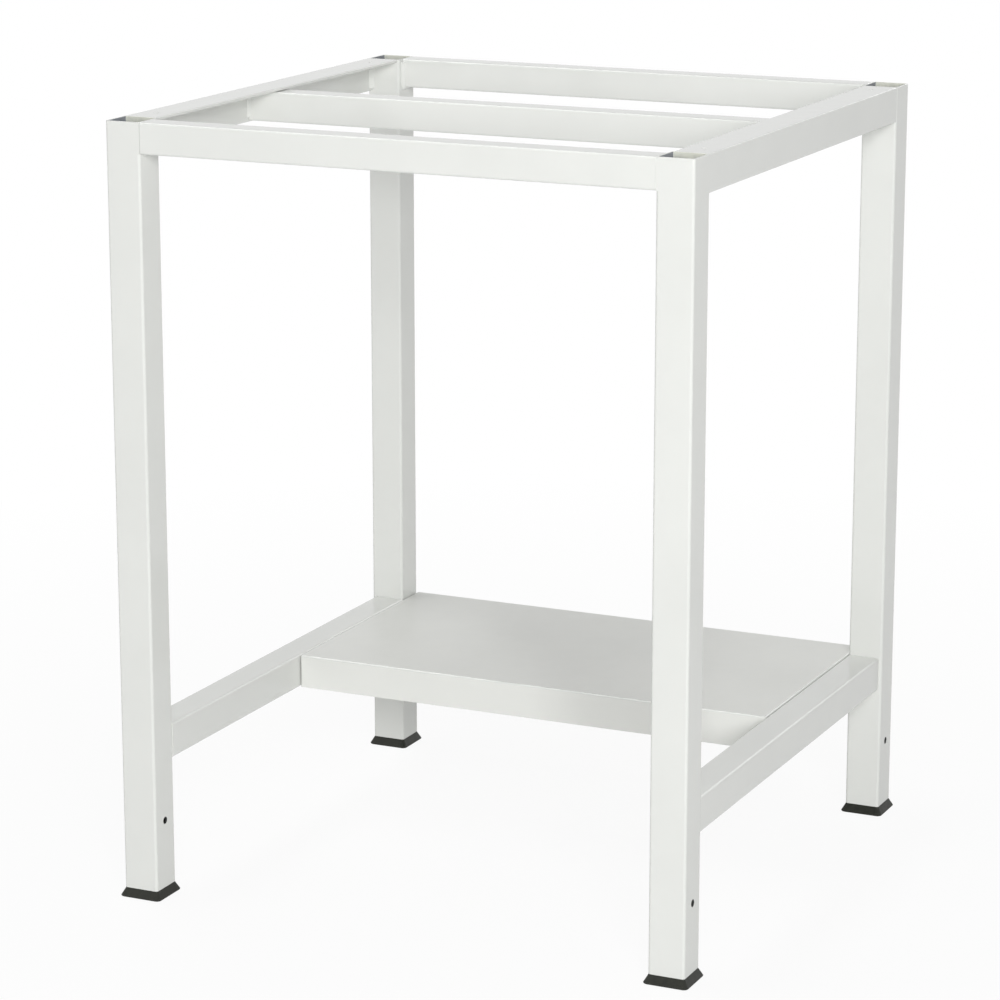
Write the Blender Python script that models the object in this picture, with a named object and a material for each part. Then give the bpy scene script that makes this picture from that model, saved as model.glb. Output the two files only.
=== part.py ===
"""Base frame of a work table: welded steel tube and angle, a folded sheet shelf and plastic feet.

Metres, +Z up. The origin is on the floor, in the middle between the four legs.
The table is seen from the front along +Y, with its right side at +X.
"""

import math

import bmesh
import bpy
from mathutils import Matrix, Vector

# Overall size over the legs, and from the floor to the open leg tops
WIDTH = 0.650
DEPTH = 0.635
HEIGHT = 0.840

# Welded or seated pieces keep this clearance to each other
GAP = 0.0003

# Square tube of the legs, with a hole drilled right through near the foot
LEG_TUBE = 0.040
LEG_WALL = 0.002
LEG_RADIUS = 0.003
LEG_HOLE = 0.008
LEG_HOLE_HEIGHT = 0.085

# Side rails of the top frame: steel angle, flush with the tops and the outer faces of the legs
SIDE_RAIL_WIDTH = 0.038
SIDE_RAIL_HEIGHT = 0.038
SIDE_RAIL_WALL = 0.0032
SIDE_RAIL_HEEL_RADIUS = 0.0008
SIDE_RAIL_TOE_RADIUS = 0.0012
SIDE_RAIL_ROOT_RADIUS = 0.0008
TOP_HOLE = 0.0055
TOP_HOLE_FROM_LEG = 0.032

# Front, rear and middle rails of the top frame; the middle one lies under the side rails' flanges
CROSS_RAIL_DEPTH = 0.030
CROSS_RAIL_HEIGHT = 0.033
CROSS_RAIL_WALL = 0.002
CROSS_RAIL_RADIUS = 0.0025
MIDDLE_RAIL_Y = -0.005

# Low stretchers from front leg to rear leg, flush with the inner faces of the legs
STRETCHER_WIDTH = 0.036
STRETCHER_HEIGHT = 0.038
STRETCHER_WALL = 0.002
STRETCHER_RADIUS = 0.0025
STRETCHER_FROM_FLOOR = 0.150

# Folded shelf between the stretchers, from the rear faces of the legs forwards
SHELF_DEPTH = 0.305
SHELF_FLANGE = 0.038
SHELF_SHEET = 0.0012
SHELF_BEND = 0.0022
SHELF_LIP = 0.012
SHELF_SIDE_GAP = 0.0010

# Pan head screws that hold the side flanges of the shelf to the stretchers
SCREWS_PER_SIDE = 3
SCREW_SHANK = 0.0039
SCREW_LENGTH = 0.0105
SCREW_HEAD = 0.0080
SCREW_HEAD_HEIGHT = 0.0026
SCREW_FROM_END = 0.035
# Half outline of the pan head, from its crown: shares of the head's radius and of its height
SCREW_HEAD_PROFILE = ((0.45, 1.0), (0.85, 0.75), (1.0, 0.35), (1.0, 0.0))
SCREW_TIP_SHARE = 0.3

# Flared plastic feet with a ribbed plug inside the leg
FOOT_HEIGHT = 0.0095
FOOT_FLARE = 0.0045
FOOT_BASE_ROUND = 0.0014
PLUG_HEIGHT = 0.026
PLUG_RIBS = 3
PLUG_RIB_HEIGHT = 0.0025
PLUG_RIB_REACH = 0.0022
PLUG_RIB_OFFSET = 0.7

# Weld beads: on the front and rear rails, on the side rails, and on the middle rail and stretchers
BEAD = 0.0034
SIDE_RAIL_BEAD = 0.0048
SMALL_BEAD = 0.0028
BEAD_FROM_FACE = 0.007
BEAD_CROWN = 0.18
BEAD_END = 0.45

# Smoothness of round shapes, and the least inner radius of a bend as a share of its outer one
INNER_RADIUS_SHARE = 0.2
CORNER_STEPS = 4
BEND_STEPS = 3
HOLE_SIDES = 20
SCREW_SIDES = 16
BEAD_STEPS = 4

SIDES = {"left": -1, "right": 1}
ENDS = {"front": -1, "rear": 1}


def clear_scene():
    """Empties the scene, so that the script can be run again."""
    for item in list(bpy.data.objects):
        bpy.data.objects.remove(item, do_unlink=True)


def material(name, colour, roughness, metallic):
    """A plain Principled material."""
    made = bpy.data.materials.new(name)
    made.use_nodes = True
    shader = made.node_tree.nodes["Principled BSDF"]
    shader.inputs["Base Color"].default_value = (*colour, 1.0)
    shader.inputs["Roughness"].default_value = roughness
    shader.inputs["Metallic"].default_value = metallic
    return made


def add_object(name, mesh_builder, finish, location=(0, 0, 0), rotation=(0, 0, 0)):
    """Turns a bmesh into a named object that hangs on the table's empty."""
    bmesh.ops.recalc_face_normals(mesh_builder, faces=mesh_builder.faces)
    mesh = bpy.data.meshes.new(name)
    mesh_builder.to_mesh(mesh)
    mesh_builder.free()
    mesh.shade_smooth()
    mesh.set_sharp_from_angle(angle=math.radians(35))
    mesh.materials.append(finish)
    made = bpy.data.objects.new(name, mesh)
    made.location = location
    made.rotation_euler = rotation
    made.parent = bpy.data.objects.get("table")
    bpy.context.scene.collection.objects.link(made)
    return made


def cut(target, cutter_builder, label):
    """Subtracts a hidden cutter from an object; the cutter is given in world coordinates."""
    cutter = add_object(f"{target.name}_{label}", cutter_builder, target.data.materials[0])
    cutter.hide_render = True
    cutter.display_type = "WIRE"
    modifier = target.modifiers.new(label, "BOOLEAN")
    modifier.operation = "DIFFERENCE"
    modifier.solver = "EXACT"
    modifier.object = cutter


def rounded_rectangle(width, height, radius, z=0.0):
    """Points round a rectangle with arcs at its corners, in the XY plane."""
    points = []
    for quarter in range(4):
        turn = quarter * math.pi / 2
        side_x = (1, -1, -1, 1)[quarter]
        side_y = (1, 1, -1, -1)[quarter]
        centre_x = side_x * (width / 2 - radius)
        centre_y = side_y * (height / 2 - radius)
        for step in range(CORNER_STEPS + 1):
            angle = turn + step / CORNER_STEPS * math.pi / 2
            x = centre_x + radius * math.cos(angle)
            y = centre_y + radius * math.sin(angle)
            points.append(Vector((x, y, z)))
    return points


def join_rings(builder, lower, upper):
    """Closes the strip between two rings that have as many points."""
    count = len(lower)
    for i in range(count):
        j = (i + 1) % count
        builder.faces.new((lower[i], lower[j], upper[j], upper[i]))


def tube(width, height, wall, radius, length):
    """An open rectangular tube along local Z, from z = 0."""
    builder = bmesh.new()
    inner_radius = max(radius - wall, radius * INNER_RADIUS_SHARE)
    rings = []
    for z in (0.0, length):
        outer = rounded_rectangle(width, height, radius, z)
        inner = rounded_rectangle(width - 2 * wall, height - 2 * wall, inner_radius, z)
        rings.append([builder.verts.new(p) for p in outer])
        rings.append([builder.verts.new(p) for p in inner])
    outer_low, inner_low, outer_high, inner_high = rings
    join_rings(builder, outer_low, outer_high)
    join_rings(builder, inner_low, inner_high)
    join_rings(builder, outer_low, inner_low)
    join_rings(builder, outer_high, inner_high)
    return builder


def stack(builder, sections):
    """A closed solid through a list of equal-count rings of points, capped at both ends."""
    rings = [[builder.verts.new(p) for p in section] for section in sections]
    for lower, upper in zip(rings, rings[1:]):
        join_rings(builder, lower, upper)
    builder.faces.new(rings[0])
    builder.faces.new(rings[-1])


def drill(builder, centre, axis, diameter, length):
    """Adds a cylinder for a drilled hole, centred on a point."""
    turn = Vector((0, 0, 1)).rotation_difference(Vector(axis)).to_matrix().to_4x4()
    bmesh.ops.create_cone(
        builder,
        cap_ends=True,
        segments=HOLE_SIDES,
        radius1=diameter / 2,
        radius2=diameter / 2,
        depth=length,
        matrix=Matrix.Translation(centre) @ turn,
    )


def box(builder, low, high):
    """Adds a plain box between two corners."""
    size = Vector(high) - Vector(low)
    centre = (Vector(high) + Vector(low)) / 2
    place = Matrix.Translation(centre) @ Matrix.Diagonal((*size, 1.0))
    bmesh.ops.create_cube(builder, size=1.0, matrix=place)


def along_y(x, y, z):
    """Place and turn for a tube whose length runs along +Y."""
    return {"location": (x, y, z), "rotation": (-math.pi / 2, 0, 0)}


def along_x(x, y, z):
    """Place and turn for a tube whose length runs along +X, with its first size upright."""
    return {"location": (x, y, z), "rotation": (0, math.pi / 2, 0)}


# Places that several pieces share
LEG_X = WIDTH / 2 - LEG_TUBE / 2
LEG_Y = DEPTH / 2 - LEG_TUBE / 2
INNER_X = WIDTH / 2 - LEG_TUBE
INNER_Y = DEPTH / 2 - LEG_TUBE
LEG_BOTTOM = FOOT_HEIGHT + GAP
SIDE_RAIL_WEB_X = WIDTH / 2 - SIDE_RAIL_WALL
CROSS_RAIL_Y = DEPTH / 2 - CROSS_RAIL_DEPTH / 2
CROSS_RAIL_Z = HEIGHT - CROSS_RAIL_HEIGHT / 2
MIDDLE_RAIL_TOP = HEIGHT - SIDE_RAIL_WALL - GAP
MIDDLE_RAIL_Z = MIDDLE_RAIL_TOP - CROSS_RAIL_HEIGHT / 2
STRETCHER_X = INNER_X + STRETCHER_WIDTH / 2
STRETCHER_Z = STRETCHER_FROM_FLOOR + STRETCHER_HEIGHT / 2
STRETCHER_TOP = STRETCHER_FROM_FLOOR + STRETCHER_HEIGHT
BETWEEN_LEGS_Y = 2 * INNER_Y - 2 * GAP
BETWEEN_LEGS_X = 2 * INNER_X - 2 * GAP
SHELF_FRONT = DEPTH / 2 - SHELF_DEPTH
SHELF_HALF_WIDTH = INNER_X - SHELF_SIDE_GAP


def screw_places():
    """Distances along Y of the shelf screws, within both the shelf and the stretcher."""
    first = SHELF_FRONT + SCREW_FROM_END
    last = INNER_Y - SCREW_FROM_END
    step = (last - first) / max(SCREWS_PER_SIDE - 1, 1)
    return [first + i * step for i in range(SCREWS_PER_SIDE)]


def build_legs(finish):
    for end, sy in ENDS.items():
        for side, sx in SIDES.items():
            leg = add_object(
                f"{end}_{side}_leg",
                tube(LEG_TUBE, LEG_TUBE, LEG_WALL, LEG_RADIUS, HEIGHT - LEG_BOTTOM),
                finish,
                location=(sx * LEG_X, sy * LEG_Y, LEG_BOTTOM),
            )
            holes = bmesh.new()
            centre = (sx * LEG_X, sy * LEG_Y, LEG_HOLE_HEIGHT)
            drill(holes, centre, (1, 0, 0), LEG_HOLE, LEG_TUBE * 1.5)
            cut(leg, holes, "cross_hole")


def rounded_outline(corners):
    """Points round a right-angled outline of ((across, down), radius) corners."""
    points = []
    for place, (corner, radius) in enumerate(corners):
        corner = Vector(corner)
        before = (Vector(corners[place - 1][0]) - corner).normalized()
        after = (Vector(corners[(place + 1) % len(corners)][0]) - corner).normalized()
        centre = corner + (before + after) * radius
        for step in range(CORNER_STEPS + 1):
            angle = math.pi / 2 * step / CORNER_STEPS
            points.append(centre - (after * math.cos(angle) + before * math.sin(angle)) * radius)
    return points


def build_side_rails(finish):
    """Angles with one flange on top and one flush with the outer faces of the legs."""
    section = rounded_outline([
        ((0.0, 0.0), SIDE_RAIL_HEEL_RADIUS),
        ((SIDE_RAIL_WIDTH, 0.0), SIDE_RAIL_HEEL_RADIUS),
        ((SIDE_RAIL_WIDTH, SIDE_RAIL_WALL), SIDE_RAIL_TOE_RADIUS),
        ((SIDE_RAIL_WALL, SIDE_RAIL_WALL), SIDE_RAIL_ROOT_RADIUS),
        ((SIDE_RAIL_WALL, SIDE_RAIL_HEIGHT), SIDE_RAIL_TOE_RADIUS),
        ((0.0, SIDE_RAIL_HEIGHT), SIDE_RAIL_HEEL_RADIUS),
    ])
    for side, sx in SIDES.items():
        builder = bmesh.new()
        sections = []
        for y in (-BETWEEN_LEGS_Y / 2, BETWEEN_LEGS_Y / 2):
            sections.append([Vector((sx * (WIDTH / 2 - p.x), y, HEIGHT - p.y)) for p in section])
        stack(builder, sections)
        rail = add_object(f"{side}_side_rail", builder, finish)
        holes = bmesh.new()
        for sy in ENDS.values():
            hole_x = sx * (WIDTH / 2 - SIDE_RAIL_WIDTH / 2)
            centre = (hole_x, sy * (INNER_Y - TOP_HOLE_FROM_LEG), HEIGHT - SIDE_RAIL_WALL / 2)
            drill(holes, centre, (0, 0, 1), TOP_HOLE, SIDE_RAIL_WALL * 3)
        cut(rail, holes, "top_holes")


def build_cross_rails(finish):
    section = (CROSS_RAIL_HEIGHT, CROSS_RAIL_DEPTH, CROSS_RAIL_WALL, CROSS_RAIL_RADIUS)
    for end, sy in ENDS.items():
        add_object(
            f"{end}_rail",
            tube(*section, BETWEEN_LEGS_X),
            finish,
            **along_x(-BETWEEN_LEGS_X / 2, sy * CROSS_RAIL_Y, CROSS_RAIL_Z),
        )
    length = 2 * SIDE_RAIL_WEB_X - 2 * GAP
    add_object(
        "middle_rail",
        tube(*section, length),
        finish,
        **along_x(-length / 2, MIDDLE_RAIL_Y, MIDDLE_RAIL_Z),
    )


def build_stretchers(finish):
    for side, sx in SIDES.items():
        stretcher = add_object(
            f"{side}_stretcher",
            tube(STRETCHER_WIDTH, STRETCHER_HEIGHT, STRETCHER_WALL, STRETCHER_RADIUS, BETWEEN_LEGS_Y),
            finish,
            **along_y(sx * STRETCHER_X, -BETWEEN_LEGS_Y / 2, STRETCHER_Z),
        )
        holes = bmesh.new()
        for y in screw_places():
            centre = (sx * (INNER_X + STRETCHER_WALL / 2), y, STRETCHER_Z)
            drill(holes, centre, (1, 0, 0), SCREW_SHANK + 2 * GAP, STRETCHER_WALL * 3)
        cut(stretcher, holes, "screw_holes")


def bevelled_block(low, high, bend):
    """A block whose top edges and upright edges are rounded."""
    builder = bmesh.new()
    box(builder, low, high)
    bottom = min(v.co.z for v in builder.verts)
    edges = [e for e in builder.edges if max(v.co.z for v in e.verts) > bottom]
    bmesh.ops.bevel(
        builder,
        geom=edges,
        offset=bend,
        offset_type="OFFSET",
        segments=BEND_STEPS,
        profile=0.5,
        affect="EDGES",
    )
    return builder


def build_shelf(finish):
    """A tray folded down on all sides, with a stiffening lip under the front and rear flanges."""
    top = STRETCHER_TOP
    bottom = top - SHELF_FLANGE
    outer_low = Vector((-SHELF_HALF_WIDTH, SHELF_FRONT, bottom))
    outer_high = Vector((SHELF_HALF_WIDTH, DEPTH / 2, top))
    sheet = Vector((SHELF_SHEET, SHELF_SHEET, SHELF_SHEET))
    shelf = add_object("shelf", bevelled_block(outer_low, outer_high, SHELF_BEND), finish)
    inner_bend = max(SHELF_BEND - SHELF_SHEET, SHELF_BEND * INNER_RADIUS_SHARE)
    cut(shelf, bevelled_block(outer_low + sheet, outer_high - sheet, inner_bend), "hollow")
    opening = bmesh.new()
    lip = Vector((SHELF_SHEET, SHELF_LIP, -SHELF_SHEET))
    box(opening, outer_low + lip, (SHELF_HALF_WIDTH - SHELF_SHEET, DEPTH / 2 - SHELF_LIP, STRETCHER_Z))
    cut(shelf, opening, "open_underside")
    holes = bmesh.new()
    for sx in SIDES.values():
        for y in screw_places():
            centre = (sx * (SHELF_HALF_WIDTH - SHELF_SHEET / 2), y, STRETCHER_Z)
            drill(holes, centre, (1, 0, 0), SCREW_SHANK + 2 * GAP, SHELF_SHEET * 4)
    cut(shelf, holes, "screw_holes")


def screw(builder, seat, direction):
    """Pan head screw whose head rests on a face at seat and whose shank runs along direction."""
    shank = SCREW_SHANK / 2
    profile = [(SCREW_HEAD / 2 * out, -SCREW_HEAD_HEIGHT * up) for out, up in SCREW_HEAD_PROFILE]
    profile += [(shank, 0.0), (shank, SCREW_LENGTH - shank), (shank * SCREW_TIP_SHARE, SCREW_LENGTH)]
    turn = Vector((0, 0, 1)).rotation_difference(Vector(direction)).to_matrix()
    sections = []
    for radius, z in profile:
        section = []
        for i in range(SCREW_SIDES):
            angle = 2 * math.pi * i / SCREW_SIDES
            point = Vector((radius * math.cos(angle), radius * math.sin(angle), z))
            section.append(Vector(seat) + turn @ point)
        sections.append(section)
    stack(builder, sections)


def build_screws(finish):
    for side, sx in SIDES.items():
        seat_x = sx * (SHELF_HALF_WIDTH - SHELF_SHEET - GAP)
        for number, y in enumerate(screw_places(), start=1):
            builder = bmesh.new()
            screw(builder, (seat_x, y, STRETCHER_Z), (sx, 0, 0))
            add_object(f"{side}_shelf_screw_{number}", builder, finish)


def build_feet(finish):
    """Feet that flare out from the leg's outline, with a ribbed plug up inside the tube."""
    plug = LEG_TUBE - 2 * LEG_WALL - 2 * GAP
    plug_radius = max(LEG_RADIUS - LEG_WALL, LEG_RADIUS * INNER_RADIUS_SHARE)
    core = plug - 2 * PLUG_RIB_REACH
    base = LEG_TUBE + 2 * FOOT_FLARE
    base_radius = LEG_RADIUS + FOOT_FLARE / 2
    levels = [
        (base - 2 * FOOT_BASE_ROUND, base_radius, 0.0),
        (base - FOOT_BASE_ROUND / 2, base_radius, FOOT_BASE_ROUND / 3),
        (base, base_radius, FOOT_BASE_ROUND),
        (LEG_TUBE, LEG_RADIUS, FOOT_HEIGHT),
        (core, plug_radius, FOOT_HEIGHT),
    ]
    pitch = PLUG_HEIGHT / (PLUG_RIBS + 0.5)
    for i in range(PLUG_RIBS):
        low = FOOT_HEIGHT + pitch * (i + PLUG_RIB_OFFSET)
        levels.append((core, plug_radius, low))
        levels.append((plug, plug_radius, low + PLUG_RIB_HEIGHT / 3))
        levels.append((plug, plug_radius, low + PLUG_RIB_HEIGHT * 2 / 3))
        levels.append((core, plug_radius, low + PLUG_RIB_HEIGHT))
    levels.append((core, plug_radius, FOOT_HEIGHT + PLUG_HEIGHT))
    for end, sy in ENDS.items():
        for side, sx in SIDES.items():
            builder = bmesh.new()
            stack(builder, [rounded_rectangle(size, size, radius, z) for size, radius, z in levels])
            add_object(f"{end}_{side}_foot", builder, finish, location=(sx * LEG_X, sy * LEG_Y, 0.0))


def round_corner(start, corner, finish_point, first_out, second_out, radius):
    """Stations over two faces of a tube and the rounded edge between them, each with its outward normal."""
    first = Vector(first_out)
    second = Vector(second_out)
    centre = Vector(corner) - (first + second) * radius
    stations = [(Vector(start), first)]
    for step in range(CORNER_STEPS + 1):
        angle = math.pi / 2 * step / CORNER_STEPS
        out = first * math.cos(angle) + second * math.sin(angle)
        stations.append((centre + out * radius, out))
    stations.append((Vector(finish_point), second))
    return stations


def straight_run(start, finish_point, outward):
    """Stations of a straight bead on one face."""
    return [(Vector(start), Vector(outward)), (Vector(finish_point), Vector(outward))]


def fillet_weld(name, stations, plate_out, size, finish):
    """A weld bead that runs along a tube's end where it stands on a plate, with thin run-outs."""
    plate = Vector(plate_out)
    run_in = (stations[1][0] - stations[0][0]).normalized() * size
    run_out = (stations[-2][0] - stations[-1][0]).normalized() * size
    stations = [
        stations[0],
        (stations[0][0] + run_in, stations[0][1]),
        *stations[1:-1],
        (stations[-1][0] + run_out, stations[-1][1]),
        stations[-1],
    ]
    sections = []
    for place, (point, out) in enumerate(stations):
        at_end = place in (0, len(stations) - 1)
        reach = size * (BEAD_END if at_end else 1.0)
        root = point + (plate + out) * GAP
        section = [root]
        for step in range(BEAD_STEPS + 1):
            along = step / BEAD_STEPS
            crown = 1.0 + BEAD_CROWN * math.sin(math.pi * along)
            section.append(root + (plate * (1 - along) + out * along) * reach * crown)
        sections.append(section)
    builder = bmesh.new()
    stack(builder, sections)
    add_object(name, builder, finish)


def build_corner_welds(finish):
    """The beads that join one cross rail and one side rail to each leg."""
    rail_low = HEIGHT - CROSS_RAIL_HEIGHT
    web_low = HEIGHT - SIDE_RAIL_HEIGHT + SIDE_RAIL_TOE_RADIUS
    web_high = HEIGHT - SIDE_RAIL_WALL - SIDE_RAIL_ROOT_RADIUS
    for end, sy in ENDS.items():
        for side, sx in SIDES.items():
            inner_x = sx * INNER_X
            rail_y = sy * (DEPTH / 2 - CROSS_RAIL_DEPTH)
            stations = round_corner(
                (inner_x, rail_y, HEIGHT - CROSS_RAIL_RADIUS),
                (inner_x, rail_y, rail_low),
                (inner_x, sy * (DEPTH / 2 - BEAD_FROM_FACE), rail_low),
                (0, -sy, 0),
                (0, 0, -1),
                CROSS_RAIL_RADIUS,
            )
            fillet_weld(f"{end}_{side}_cross_rail_weld", stations, (-sx, 0, 0), BEAD, finish)
            web_x = sx * SIDE_RAIL_WEB_X
            leg_y = sy * INNER_Y
            stations = straight_run((web_x, leg_y, web_low), (web_x, leg_y, web_high), (-sx, 0, 0))
            fillet_weld(f"{end}_{side}_side_rail_weld", stations, (0, -sy, 0), SIDE_RAIL_BEAD, finish)


def build_middle_rail_welds(finish):
    """A bead down the front and the rear of the middle rail at each end."""
    low = MIDDLE_RAIL_TOP - CROSS_RAIL_HEIGHT + CROSS_RAIL_RADIUS
    high = MIDDLE_RAIL_TOP - CROSS_RAIL_RADIUS
    for side, sx in SIDES.items():
        x = sx * SIDE_RAIL_WEB_X
        for end, sy in ENDS.items():
            y = MIDDLE_RAIL_Y + sy * CROSS_RAIL_DEPTH / 2
            stations = straight_run((x, y, low), (x, y, high), (0, sy, 0))
            fillet_weld(f"middle_rail_{side}_{end}_weld", stations, (-sx, 0, 0), SMALL_BEAD, finish)


def build_stretcher_welds(finish):
    """A bead along the underside of each stretcher at each end."""
    low = STRETCHER_FROM_FLOOR
    for side, sx in SIDES.items():
        outer_x = sx * (INNER_X + STRETCHER_WIDTH - STRETCHER_RADIUS)
        inner_x = sx * (INNER_X + LEG_RADIUS)
        for end, sy in ENDS.items():
            leg_y = sy * INNER_Y
            stations = straight_run((outer_x, leg_y, low), (inner_x, leg_y, low), (0, 0, -1))
            fillet_weld(f"{side}_stretcher_{end}_weld", stations, (0, -sy, 0), SMALL_BEAD, finish)


def main():
    clear_scene()
    table = bpy.data.objects.new("table", None)
    bpy.context.scene.collection.objects.link(table)
    paint = material("pale_grey_powder_coat", (0.78, 0.79, 0.78), 0.32, 0.0)
    plastic = material("black_plastic", (0.035, 0.036, 0.034), 0.5, 0.0)
    zinc = material("zinc_plated_steel", (0.62, 0.63, 0.64), 0.35, 1.0)
    build_legs(paint)
    build_side_rails(paint)
    build_cross_rails(paint)
    build_stretchers(paint)
    build_shelf(paint)
    build_screws(zinc)
    build_feet(plastic)
    build_corner_welds(paint)
    build_middle_rail_welds(paint)
    build_stretcher_welds(paint)


main()
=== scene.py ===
"""Looks of the work table's base frame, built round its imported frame.

Metres, in the frame's own axes: +Z up, the front at -Y, the right side at +X.
Each piece stands for one node of the frame, at the same place and of the same size,
with a finer mesh and a full material.
"""

import math

import bmesh
import bpy
from mathutils import Matrix, Vector, noise


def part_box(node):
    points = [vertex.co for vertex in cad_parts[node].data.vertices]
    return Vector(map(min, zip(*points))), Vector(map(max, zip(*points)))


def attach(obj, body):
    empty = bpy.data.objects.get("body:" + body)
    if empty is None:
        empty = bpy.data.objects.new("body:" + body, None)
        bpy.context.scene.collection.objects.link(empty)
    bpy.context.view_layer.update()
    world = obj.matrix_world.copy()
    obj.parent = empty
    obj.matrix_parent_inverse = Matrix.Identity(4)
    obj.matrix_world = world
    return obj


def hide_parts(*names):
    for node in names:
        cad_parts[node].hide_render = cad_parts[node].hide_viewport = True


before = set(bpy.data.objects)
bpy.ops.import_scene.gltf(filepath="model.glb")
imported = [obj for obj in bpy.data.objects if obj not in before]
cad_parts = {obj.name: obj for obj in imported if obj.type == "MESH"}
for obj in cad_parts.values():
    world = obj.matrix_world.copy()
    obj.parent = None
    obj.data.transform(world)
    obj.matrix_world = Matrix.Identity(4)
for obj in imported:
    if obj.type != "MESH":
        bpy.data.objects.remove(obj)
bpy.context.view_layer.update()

SIDES = {"left": -1, "right": 1}
ENDS = {"front": -1, "rear": 1}

# Sizes that the frame gives
LEG_LOW, LEG_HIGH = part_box("front_right_leg")
LEG_SIZE = LEG_HIGH.x - LEG_LOW.x
TABLE_TOP = LEG_HIGH.z
INNER_X = LEG_LOW.x
OUTER_Y = -LEG_LOW.y
INNER_Y = -LEG_HIGH.y
RAIL_LOW, RAIL_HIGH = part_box("front_rail")
RAIL_DEPTH = RAIL_HIGH.y - RAIL_LOW.y
MIDDLE_LOW, MIDDLE_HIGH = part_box("middle_rail")
SIDE_RAIL_LOW, SIDE_RAIL_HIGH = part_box("right_side_rail")
STRETCHER_LOW, STRETCHER_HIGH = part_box("right_stretcher")
SHELF_LOW, SHELF_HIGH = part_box("shelf")
FOOT_LOW, FOOT_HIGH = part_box("front_right_foot")
JOINT_GAP = INNER_X - RAIL_HIGH.x

# Square tube: wall, corner radius of each section, the soft edge of a painted tube end,
# and the fine seam that stays open at the ends of the cross rails
TUBE_WALL = 0.002
LEG_RADIUS = 0.003
CROSS_RAIL_RADIUS = 0.0025
STRETCHER_RADIUS = 0.0025
LIP_ROUND = 0.00045
RAIL_SEAM = 0.00015

# Ground welds beside the front legs: reach past the leg's rounded edge, thickness,
# and how far they stay below the top of the leg
FILL_OVERLAP = 0.0006
FILL_DEPTH = 0.0012
FILL_DROP = 1.2 * LIP_ROUND

# Angle of the side rails: wall, and the radii of its outer edges, of the inner edges of its toes
# and of its root
ANGLE_WALL = 0.0032
ANGLE_EDGE = 0.0008
ANGLE_TOE = 0.0012
ANGLE_ROOT = 0.0008
WEB_X = SIDE_RAIL_HIGH.x - ANGLE_WALL

# Folded shelf: sheet, outer radius of the bends, front and rear lips, slits at the corners;
# a face whose normal has no part of at least FLAT_FACE lies in a bend or in a hole
SHEET = 0.0012
SHELF_BEND = 0.0022
SHELF_LIP = 0.012
CORNER_SLIT = 0.0006
FLAT_FACE = 0.999

# Drilled holes, and the lengths of the drills that cut them
LEG_HOLE = 0.008
LEG_HOLE_HEIGHT = 0.085
LEG_DRILL = 1.5 * LEG_SIZE
TOP_HOLE = 0.0055
TOP_HOLE_FROM_LEG = 0.032
TOP_DRILL = 3 * ANGLE_WALL
SCREW_HOLE = 0.0045
STRETCHER_DRILL = 4 * TUBE_WALL
SHELF_DRILL = 6 * SHEET

# Screws: number on each side, share of the head's height in its round crown,
# and radius of the tip as a share of the shank's
SHELF_SCREWS = 3
SCREW_CROWN = 0.65
SCREW_TIP = 0.3

# Cross recess: half length and half width of an arm as shares of the head's radius, depth as a share of
# the head's height, depth of the second arm as a share of the first one's, and turn in radians
RECESS_ARM = 0.55
RECESS_WIDTH = 0.16
RECESS_DEPTH = 0.75
SECOND_ARM_DEPTH = 0.94
RECESS_TURN = 0.31

# Feet: height of the flared skirt, its rounded edges and corners, and the rim and shoulder under the leg
FOOT_SKIRT = LEG_LOW.z - JOINT_GAP
FOOT_BASE_ROUND = 0.0014
FOOT_TOP_ROUND = 0.0006
FOOT_CORNER = 0.0048
FOOT_RIM_WIDTH = 0.3 * FOOT_TOP_ROUND
FOOT_RIM_DROP = 0.2 * FOOT_TOP_ROUND
FOOT_SHOULDER = 0.9 * JOINT_GAP

# Ribbed plug of a foot: it is a pitch high for each rib and SPARE_PITCH more, its first rib starts FIRST_RIB
# of a pitch up, and RIB_RINGS are the shares of a rib's height that have a ring of points
PLUG_RIBS = 3
PLUG_RIB_REACH = 0.0022
PLUG_RIB_HEIGHT = 0.0025
FIRST_RIB = 0.7
SPARE_PITCH = 0.5
RIB_RINGS = (0.0, 0.15, 0.3, 0.5, 0.7, 0.85, 1.0)

# Weld beads: leg lengths, distance from the outer face, crown, fullness at the ends and mesh steps
BEAD = 0.0034
SIDE_RAIL_BEAD = 0.0048
SMALL_BEAD = 0.0028
BEAD_FROM_FACE = 0.007
BEAD_CROWN = 0.16
BEAD_END = 0.25
BEAD_STEP = 0.0004
BEAD_ACROSS = 8

# Ripple and slow wander that the weld pool leaves, and the first seeds of three kinds of bead
RIPPLE_PITCH = 0.0021
RIPPLE_LAG = 0.0016
RIPPLE_SHARE = 0.05
WANDER_SHARE = 0.06
WANDER_SCALE = 140.0
SIDE_RAIL_SEED = 20
MIDDLE_RAIL_SEED = 40
STRETCHER_SEED = 50

# Noise of the finishes: features per metre, detail and, where it isn't a half, roughness;
# most of its values lie between NOISE_LOW and NOISE_HIGH
NOISE_LOW = 0.3
NOISE_HIGH = 0.7
COAT_CLOUD = (9.0, 4.0, 0.55)
COAT_SHEEN = (55.0, 3.0, 0.6)
COAT_WAVES = (24.0, 1.0)
COAT_PEEL = (520.0, 2.0, 0.4)
TUBE_DRIFT = (160.0, 3.0)
TUBE_GRIT = (900.0, 3.0)
PLASTIC_SCUFF = (130.0, 5.0, 0.65)
PLASTIC_GRAIN = (2600.0, 2.0)
ZINC_CLOUD = (420.0, 4.0)

# Heights of the fine relief
WAVE_HEIGHT = 0.00003
PEEL_HEIGHT = 0.000006
GRIT_HEIGHT = 0.00004
GRAIN_HEIGHT = 0.00003
TURNING_HEIGHT = 0.00002

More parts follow.
